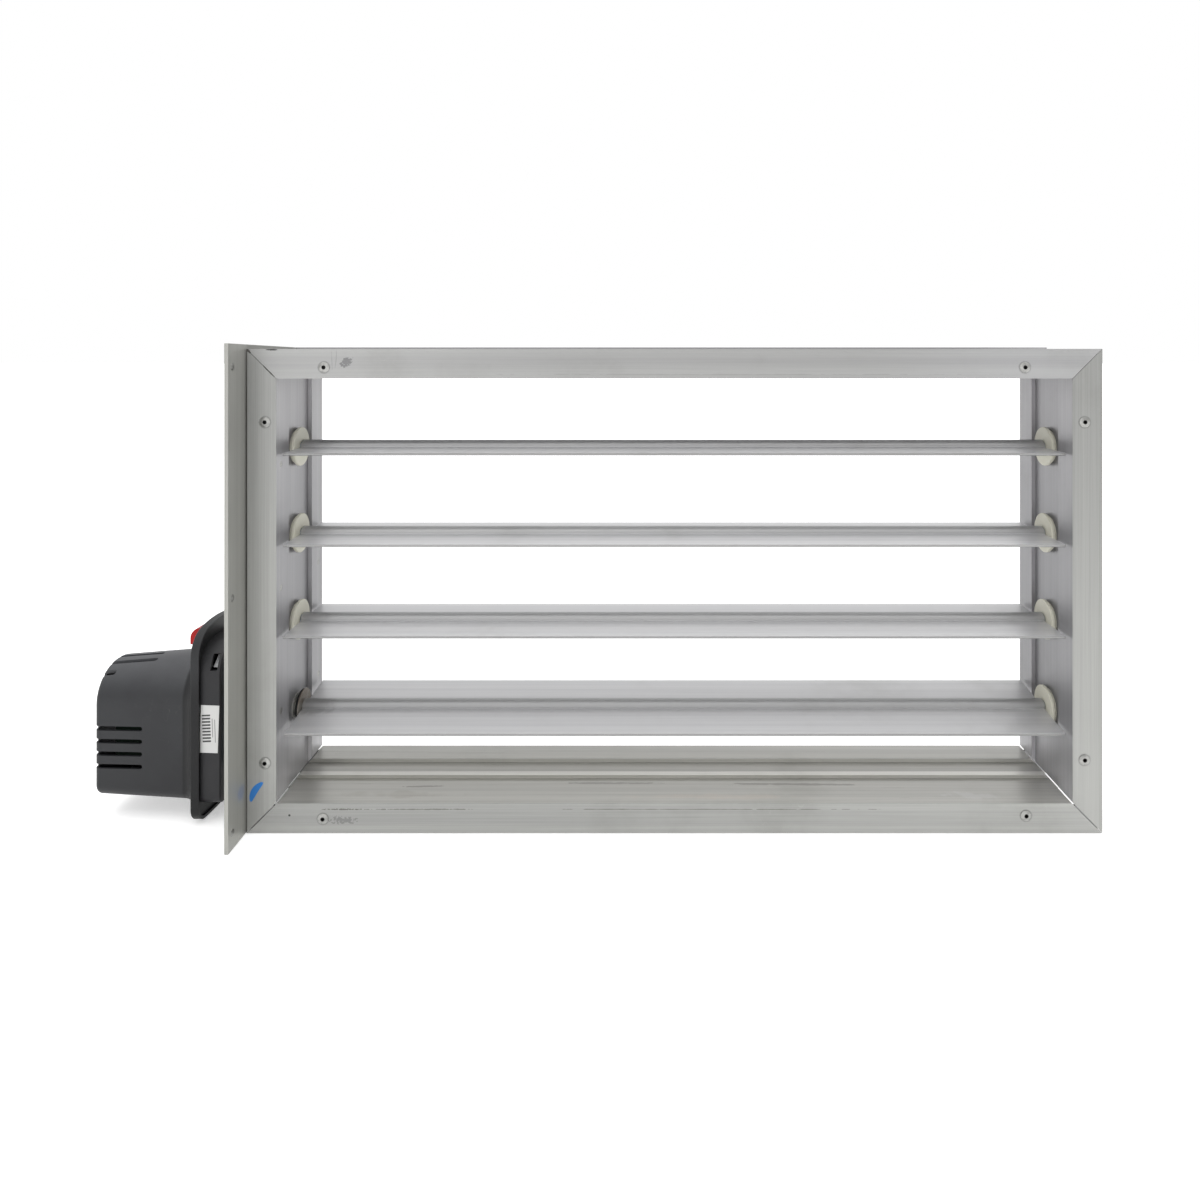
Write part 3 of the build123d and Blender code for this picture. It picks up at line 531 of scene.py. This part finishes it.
def bladeMaterial(index):
    height = axleHeights[index]
    soot = [
        {"face": "level", "at": (ductX - 0.362, ductY - 0.006, height), "size": (0.026, 0.014), "turn": 0,
         "weight": bladeSoot[index], "colour": grime, "breakup": 0.5, "scale": 120.0, "soft": 0.9,
         "depth": 0.03},
    ]
    material = extrusionMaterial(f"bladeMetal{index + 1}", "X", bladeLook, soot)
    tree = material.node_tree
    shader = tree.nodes["Principled BSDF"]
    source = shader.inputs["Base Color"].links[0].from_socket
    place = tree.nodes.new("ShaderNodeTexCoord").outputs["Object"]
    mapping = addNode(tree, "ShaderNodeMapping", vector_type="TEXTURE")
    mapping.inputs["Location"].default_value = (0.0, ductY, height)
    mapping.inputs["Rotation"].default_value = (math.radians(bladeTilt[index]), 0.0, 0.0)
    join(tree, place, mapping.inputs["Vector"])
    parts = addNode(tree, "ShaderNodeSeparateXYZ")
    join(tree, mapping.outputs["Vector"], parts.inputs[0])
    along, up = parts.outputs["Y"], parts.outputs["Z"]
    hub = rampNode(tree, up, bladeBand["hubFrom"], bladeBand["hubTo"])
    foot = rampNode(tree, mathNode(tree, "ABSOLUTE", along, 0.0), bladeBand["seamOut"], bladeBand["seamIn"])
    seamShade = mathNode(tree, "MULTIPLY", foot, mathNode(tree, "SUBTRACT", 1.0, hub))
    front = mathNode(tree, "LESS_THAN", along, bladeBand["lipStart"])
    lip = mathNode(tree, "MULTIPLY", front, mathNode(tree, "LESS_THAN", up, bladeBand["lipTop"]))
    # Painted shade on the hub band, its seam and the lip, then each blade's painted light
    paintedBladeShading = mixColour(tree, hub, (1.0, 1.0, 1.0), bladeBand["hub"])
    paintedBladeShading = mixColour(tree, seamShade, paintedBladeShading, bladeBand["seamShade"])
    paintedBladeShading = mixColour(tree, lip, paintedBladeShading, bladeBand["lip"])
    paintedBladeShading = mixColour(tree, 1.0, paintedBladeShading, (bladeLightGain[index],) * 3, "MULTIPLY")
    join(tree, mixColour(tree, 1.0, source, paintedBladeShading, "MULTIPLY"), shader.inputs["Base Color"])
    return material


bladeMetals = [bladeMaterial(index) for index in range(4)]
print("frame and blade metals built")


# Plain metal: fine tooling noise, soft wear
def metalMaterial(name, look, dots=()):
    material, tree, shader, place = newMaterial(name, look["colour"], look["metallic"], look["roughness"])
    marks = placeGroup(tree, handling, place, Blotch_Scale=look["blotch"])
    grain = placeGroup(tree, mouldedGrain, place, Grain_Scale=look["grain"])
    wear = rampNode(tree, marks.outputs["Blotches"], *look["wearSpan"])
    shade = mixColour(tree, wear, look["colour"], look["worn"])
    shade = addMarks(tree, place, shade, dots)
    join(tree, shade, shader.inputs["Base Color"])
    rough = mathNode(tree, "MULTIPLY", grain.outputs["Grain"], look["roughSpread"])
    rough = mathNode(tree, "ADD", rough, look["roughness"] - look["roughDrop"])
    join(tree, rough, shader.inputs["Roughness"])
    addBump(tree, shader, grain.outputs["Grain"], look["bump"], look["bumpHeight"])
    return material


plainMetal = {
    "colour": (0.36, 0.36, 0.345), "worn": (0.26, 0.26, 0.25), "metallic": 0.85, "roughness": 0.36,
    "roughSpread": 0.25, "roughDrop": 0.12, "blotch": 240.0, "wearSpan": (0.4, 0.66),
    "grain": 2200.0, "bump": 0.15, "bumpHeight": 0.0001,
}
rivetLook = plainMetal
# Painted shade: the plate's rivets, screws and standoffs take a darker copy of the rivet metal
plateRivetShadedLook = dict(plainMetal, colour=(0.27, 0.27, 0.255), worn=(0.2, 0.2, 0.19))
# The window strip: pale spring steel with a painted highlight in its colour
springHighlightLook = dict(plainMetal, colour=(0.85, 0.85, 0.86), worn=(0.7, 0.7, 0.72), metallic=0.3)
zincLook = dict(
    plainMetal, colour=(0.36, 0.40, 0.45), worn=(0.25, 0.27, 0.29), blotch=90.0, grain=1800.0, bump=0.2,
)
washerLook = dict(
    plainMetal, colour=(0.20, 0.17, 0.14), worn=(0.30, 0.28, 0.25), roughness=0.42, blotch=70.0,
    grain=2400.0, bump=0.25,
)
brassLook = dict(
    plainMetal, colour=(0.42, 0.32, 0.12), worn=(0.30, 0.24, 0.12), roughness=0.4, blotch=160.0,
    grain=1800.0, bump=0.2,
)
motorLook = dict(
    plainMetal, colour=(0.38, 0.38, 0.38), worn=(0.3, 0.3, 0.3), roughness=0.35, blotch=60.0,
    grain=1200.0, bump=0.2,
)
# Painted shade: a black disc on each rivet's dome for the dark inside of its mandrel hole
mandrelHoleShade = [
    {"face": "front", "at": tuple(centre), "size": (rivetRing["hole"],) * 2, "turn": 0, "depth": 0.01,
     "weight": rivetRing["holeWeight"], "colour": (0.02, 0.02, 0.02), "breakup": 0.05}
    for centre in rivetCentres
]
rivetMetal = metalMaterial("rivetMetal", rivetLook, mandrelHoleShade)
plateRivetShadedMetal = metalMaterial("plateRivetShadedMetal", plateRivetShadedLook)
springMetalWithHighlight = metalMaterial("springMetalWithHighlight", springHighlightLook)
zincSteel = metalMaterial("zincSteel", zincLook)
wornSteel = metalMaterial("wornSteel", washerLook)
brassMetal = metalMaterial("brassMetal", brassLook)
motorCan = metalMaterial("motorCan", motorLook)


# Moulded plastic: grain in the bump, cloudy tone, faint dust
def plasticMaterial(name, look):
    material, tree, shader, place = newMaterial(
        name, look["colour"], 0.0, look["roughness"], Specular_IOR_Level=look["specular"]
    )
    grain = placeGroup(tree, mouldedGrain, place, Grain_Scale=look["grain"])
    marks = placeGroup(tree, handling, place, Blotch_Scale=look["blotch"], Scratch_Scale=look["scratch"])
    cloud = rampNode(tree, grain.outputs["Cloud"], *look["cloudSpan"])
    shade = mixColour(tree, cloud, look["dark"], look["colour"])
    dusty = mathNode(tree, "MULTIPLY", marks.outputs["Scratches"], look["dust"])
    shade = mixColour(tree, dusty, shade, look["dustColour"])
    parts = addNode(tree, "ShaderNodeSeparateXYZ")
    join(tree, place, parts.inputs[0])
    for axis, start, end, tint in look["tones"]:
        shade = tinted(tree, shade, rampNode(tree, parts.outputs[axis], start, end), tint)
    join(tree, shade, shader.inputs["Base Color"])
    rough = mathNode(tree, "MULTIPLY", grain.outputs["Cloud"], look["roughSpread"])
    rough = mathNode(tree, "ADD", rough, look["roughness"] - look["roughSpread"] / 2)
    join(tree, rough, shader.inputs["Roughness"])
    addBump(tree, shader, grain.outputs["Grain"], look["bump"], look["bumpHeight"])
    return material


# The cover's crown is painted paler with painted light from above, its foot darker with painted shade, and
# its rim darkest with painted shade
rimStart = coverHigh[0] - 0.0205
crownFoot = coverHigh[2] - 0.068
plainPlastic = {
    "colour": (0.030, 0.031, 0.0335), "dark": (0.025, 0.0255, 0.028), "cloudSpan": (0.35, 0.65),
    "roughness": 0.46, "roughSpread": 0.16, "specular": 0.24,
    "grain": 1500.0, "bump": 0.3, "bumpHeight": 0.00015, "tones": [],
    "dust": 0.06, "dustColour": (0.3, 0.29, 0.27), "blotch": 14.0, "scratch": 30.0,
}
coverLook = dict(
    plainPlastic,
    # Painted shade on the rim, painted light on the crown, painted shade towards the foot
    tones=[
        ("X", rimStart, rimStart + 0.003, (0.3, 0.3, 0.3)),
        ("Z", crownFoot, crownFoot + 0.032, (2.8, 2.8, 2.75)),
        ("Z", 0.09, 0.02, (0.8, 0.8, 0.8)),
    ],
)
baseLook = dict(plainPlastic, colour=(0.030, 0.030, 0.032), dark=(0.024, 0.024, 0.026))
redLook = dict(plainPlastic, colour=(0.40, 0.007, 0.006), dark=(0.33, 0.005, 0.004), roughness=0.36, dust=0.1)
nylonLook = dict(
    plainPlastic, colour=(0.72, 0.705, 0.60), dark=(0.66, 0.645, 0.54), roughness=0.45,
    dust=0.2, dustColour=(0.2, 0.18, 0.14), grain=900.0, bump=0.15,
)
rubberLook = dict(plainPlastic, colour=(0.02, 0.02, 0.02), dark=(0.015, 0.015, 0.015), roughness=0.75)
# The board's dark green coat, deepened to near black as painted shade inside the vents
boardCoatAndShadeLook = dict(
    plainPlastic, colour=(0.006, 0.014, 0.009), dark=(0.004, 0.01, 0.006), roughness=0.6, specular=0.1,
)
coverPlastic = plasticMaterial("coverPlastic", coverLook)
basePlastic = plasticMaterial("basePlastic", baseLook)
redPlastic = plasticMaterial("redPlastic", redLook)
nylon = plasticMaterial("nylon", nylonLook)
rubber = plasticMaterial("rubber", rubberLook)
boardCoatAndVentShade = plasticMaterial("boardCoatAndVentShade", boardCoatAndShadeLook)


# Label stock: off-white paper with plain even bars and two plain rules that say nothing
def labelMaterial(look):
    material, tree, shader, place = newMaterial("labelPaper", look["paper"], 0.0, look["roughness"])
    labelLow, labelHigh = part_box("side_label")
    middle = [(labelLow[axis] + labelHigh[axis]) / 2 for axis in range(3)]
    mapping = addNode(tree, "ShaderNodeMapping", vector_type="TEXTURE")
    mapping.inputs["Location"].default_value = middle
    mapping.inputs["Rotation"].default_value = (0.0, math.radians(look["turn"]), 0.0)
    join(tree, place, mapping.inputs["Vector"])
    parts = addNode(tree, "ShaderNodeSeparateXYZ")
    join(tree, mapping.outputs["Vector"], parts.inputs[0])
    x, z = parts.outputs["X"], parts.outputs["Z"]

    def between(value, low, high):
        above = mathNode(tree, "GREATER_THAN", value, low)
        return mathNode(tree, "MULTIPLY", above, mathNode(tree, "LESS_THAN", value, high))

    stripe = mathNode(tree, "FRACT", mathNode(tree, "DIVIDE", z, look["pitch"]), 0.0)
    bars = mathNode(tree, "LESS_THAN", stripe, look["barShare"])
    bars = mathNode(tree, "MULTIPLY", bars, between(x, *look["barsAcross"]))
    ink = mathNode(tree, "MULTIPLY", bars, between(z, *look["barsUp"]))
    for low, high, foot, top in look["rules"]:
        rule = mathNode(tree, "MULTIPLY", between(x, low, high), between(z, foot, top))
        ink = mathNode(tree, "MAXIMUM", ink, mathNode(tree, "MULTIPLY", rule, look["ruleInk"]))
    grain = placeGroup(tree, mouldedGrain, place, Grain_Scale=look["grain"])
    cloud = rampNode(tree, grain.outputs["Cloud"], *look["cloudSpan"])
    shade = mixColour(tree, cloud, look["shade"], look["paper"])
    shade = mixColour(tree, ink, shade, look["ink"])
    join(tree, shade, shader.inputs["Base Color"])
    addBump(tree, shader, grain.outputs["Grain"], look["bump"], look["bumpHeight"])
    return material


labelLook = {
    "paper": (0.72, 0.72, 0.71), "shade": (0.67, 0.67, 0.66), "cloudSpan": (0.4, 0.6), "roughness": 0.5,
    "grain": 1100.0, "bump": 0.1, "bumpHeight": 0.0001, "ink": (0.06, 0.06, 0.06), "turn": -2,
    "pitch": 0.0031, "barShare": 0.55, "barsAcross": (-0.0068, 0.0012), "barsUp": (-0.013, 0.014),
    "rules": [(0.0026, 0.0034, -0.008, 0.010), (0.0050, 0.0058, -0.013, 0.009)], "ruleInk": 0.6,
}
labelPaper = labelMaterial(labelLook)

# The finish of each node. Bearings are nylon and everything else not named here is zinc-plated steel.
finishes = {
    "frame_bottom": sillMetal, "frame_top": lintelMetal, "frame_left": leftMetal, "frame_right": rightMetal,
    "side_plate": plateSheet, "bearing_left_4": sillMetal,
    "corner_cleats_front": lintelMetal, "corner_cleats_rear": lintelMetal,
    "front_rivets": rivetMetal, "rear_rivets": rivetMetal, "plate_rivets": plateRivetShadedMetal,
    "plate_screws": plateRivetShadedMetal, "standoffs": plateRivetShadedMetal, "window_strip": springMetalWithHighlight,
    "drive_washer": wornSteel, "clamp_nuts": brassMetal,
    "actuator_cover": coverPlastic, "actuator_base": basePlastic, "release_button": redPlastic,
    "side_label": labelPaper, "circuit_board": boardCoatAndVentShade, "cable_grommet": rubber, "motor": motorCan,
}
for number, metal in enumerate(bladeMetals, start=1):
    finishes[f"blade_{number}"] = metal
for name, node in nodes.items():
    chosen = finishes.get(name, nylon if name.startswith("bearing") else zincSteel)
    node.data.materials.clear()
    node.data.materials.append(chosen)
print("finishes laid on the frame")


# Surface helper: a grid of points, closed round its second direction, becomes one named mesh on a body.
# The face at a row and a column joins that point, the next one round, and the two under them.
def addSurface(name, body, material, points):
    rows, columns = points.shape[:2]
    row, column = np.meshgrid(np.arange(rows - 1), np.arange(columns), indexing="ij")
    after = (column + 1) % columns
    here, below = row * columns, (row + 1) * columns
    faces = np.stack((here + column, here + after, below + after, below + column), axis=-1).reshape(-1, 4)
    mesh = bpy.data.meshes.new(name)
    mesh.from_pydata(points.reshape(-1, 3).tolist(), [], faces.tolist())
    mesh.polygons.foreach_set("use_smooth", [True] * len(mesh.polygons))
    mesh.update()
    piece = bpy.data.objects.new(name, mesh)
    scene.collection.objects.link(piece)
    mesh.materials.append(material)
    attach(piece, body)
    return piece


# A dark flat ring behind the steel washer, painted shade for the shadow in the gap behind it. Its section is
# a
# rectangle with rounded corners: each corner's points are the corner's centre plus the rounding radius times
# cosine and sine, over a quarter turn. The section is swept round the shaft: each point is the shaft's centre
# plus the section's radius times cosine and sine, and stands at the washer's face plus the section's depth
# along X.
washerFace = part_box("drive_washer")[0][0]
shadowRing = {"inner": 0.0084, "outer": 0.0157, "depth": 0.0021, "round": 0.0005, "gap": 0.00005, "steps": 72}
cornerRadii = np.array([shadowRing["outer"], shadowRing["inner"], shadowRing["inner"], shadowRing["outer"]])
cornerRadii = cornerRadii + np.array([-1, 1, 1, -1]) * shadowRing["round"]
cornerDepths = np.array([0.0, 0.0, -shadowRing["depth"], -shadowRing["depth"]]) + np.array([-1, -1, 1, 1]) * shadowRing["round"]
angles = np.radians(90.0 * np.arange(4)[:, None] + 30.0 * np.arange(4))
sectionRadii = (cornerRadii[:, None] + shadowRing["round"] * np.cos(angles)).ravel()
sectionDepths = (cornerDepths[:, None] + shadowRing["round"] * np.sin(angles)).ravel()
closed = np.arange(len(sectionRadii) + 1) % len(sectionRadii)  # the last point is the first again
sectionRadii, sectionDepths = sectionRadii[closed], sectionDepths[closed]
turns = np.linspace(0.0, 2 * math.pi, shadowRing["steps"], endpoint=False)
ring = np.zeros((len(closed), shadowRing["steps"], 3))
ring[:, :, 0] = washerFace - shadowRing["gap"] + sectionDepths[:, None]
ring[:, :, 1] = ductY + sectionRadii[:, None] * np.cos(turns)
ring[:, :, 2] = axleHeights[3] + sectionRadii[:, None] * np.sin(turns)
# The ring takes the black rubber finish as painted shade
addSurface("washerShadowRing", "frame", rubber, ring)
print("seal placed behind the washer")

# Floor, world and lamps. Camera, mirror and glass rays see white where no shadow falls.
studio = {
    "floorColour": (0.93, 0.93, 0.93), "floorReach": 14.0, "floorDrop": 0.0005, "floorLift": 0.42,
    "liftFar": 1.0, "liftStart": 0.7, "liftEnd": 2.6, "overhead": 1.0, "horizon": 0.60,
    "climbEnd": 0.9, "background": 1.0,
}


def whiteRays(tree):
    path = tree.nodes.new("ShaderNodeLightPath")
    seen = mathNode(tree, "MAXIMUM", path.outputs["Is Camera Ray"], path.outputs["Is Transmission Ray"])
    return mathNode(tree, "MAXIMUM", seen, path.outputs["Is Glossy Ray"])


floorMesh = bpy.data.meshes.new("floor")
reach = studio["floorReach"]
corners = [(-reach, -reach, 0), (reach, -reach, 0), (reach, reach, 0), (-reach, reach, 0)]
floorMesh.from_pydata(corners, [], [(0, 1, 2, 3)])
floor = bpy.data.objects.new("floor", floorMesh)
floor.location.z = -studio["floorDrop"]
scene.collection.objects.link(floor)
floorPaint, floorTree, floorShader, floorPlace = newMaterial("floorPaint", studio["floorColour"], 0.0, 0.8)
distance = addNode(floorTree, "ShaderNodeVectorMath", operation="LENGTH")
join(floorTree, floorPlace, distance.inputs[0])
lift = rampNode(floorTree, distance.outputs["Value"], studio["liftStart"], studio["liftEnd"])
lift = mathNode(floorTree, "MULTIPLY", lift, studio["liftFar"] - studio["floorLift"])
lift = mathNode(floorTree, "ADD", lift, studio["floorLift"])
glow = floorTree.nodes.new("ShaderNodeEmission")
join(floorTree, mathNode(floorTree, "MULTIPLY", lift, whiteRays(floorTree)), glow.inputs["Strength"])
blend = floorTree.nodes.new("ShaderNodeAddShader")
join(floorTree, floorShader.outputs[0], blend.inputs[0])
join(floorTree, glow.outputs[0], blend.inputs[1])
join(floorTree, blend.outputs[0], floorTree.nodes["Material Output"].inputs["Surface"])
floorMesh.materials.append(floorPaint)

world = bpy.data.worlds.new("studio")
scene.world = world
world.use_nodes = True
tree = world.node_tree
light = tree.nodes["Background"]
sky = tree.nodes.new("ShaderNodeTexCoord")
skyParts = addNode(tree, "ShaderNodeSeparateXYZ")
join(tree, sky.outputs["Generated"], skyParts.inputs[0])
climb = rampNode(tree, skyParts.outputs["Z"], 0.0, studio["climbEnd"])
climb = mathNode(tree, "MULTIPLY", climb, studio["overhead"] - studio["horizon"])
join(tree, mathNode(tree, "ADD", climb, studio["horizon"]), light.inputs["Strength"])
light.inputs["Color"].default_value = (1, 1, 1, 1)
back = tree.nodes.new("ShaderNodeBackground")
back.inputs["Color"].default_value = (1, 1, 1, 1)
back.inputs["Strength"].default_value = studio["background"]
chooser = tree.nodes.new("ShaderNodeMixShader")
join(tree, whiteRays(tree), chooser.inputs[0])
join(tree, light.outputs[0], chooser.inputs[1])
join(tree, back.outputs[0], chooser.inputs[2])
join(tree, chooser.outputs[0], tree.nodes["World Output"].inputs["Surface"])

lamps = {
    "topBox": {"place": (0.0, -0.3, 2.0), "aim": (0.0, 0.0, 0.2), "size": (3.4, 2.4), "power": 33.0},
    "frontBox": {"place": (-0.6, -2.4, 1.1), "aim": (0.0, 0.0, 0.25), "size": (2.4, 1.8), "power": 7.0},
}
for name, lamp in lamps.items():
    lampData = bpy.data.lights.new(name, "AREA")
    lampData.shape = "RECTANGLE"
    lampData.size, lampData.size_y = lamp["size"]
    lampData.energy = lamp["power"]
    holder = bpy.data.objects.new(name, lampData)
    scene.collection.objects.link(holder)
    aim = np.array(lamp["aim"]) - np.array(lamp["place"])
    holder.location = lamp["place"]
    holder.rotation_euler = (math.atan2(math.hypot(aim[0], aim[1]), -aim[2]), 0, math.atan2(-aim[0], aim[1]))
print("studio lit")

# Camera: level, square on, a little left of the duct axis and just above the frame's top edge
view = {
    "leftOfAxis": 0.026, "distance": 0.789, "height": 0.467, "lens": 25.14, "sensor": 36.0,
    "shift": (-0.039, -0.219),
}
cameraData = bpy.data.cameras.new("camera")
cameraData.lens = view["lens"]
cameraData.sensor_width = view["sensor"]
cameraData.shift_x, cameraData.shift_y = view["shift"]
camera = bpy.data.objects.new("camera", cameraData)
camera.location = (ductX - view["leftOfAxis"], frontFace - view["distance"], view["height"])
camera.rotation_euler = (math.pi / 2, 0, 0)
scene.collection.objects.link(camera)
scene.camera = camera
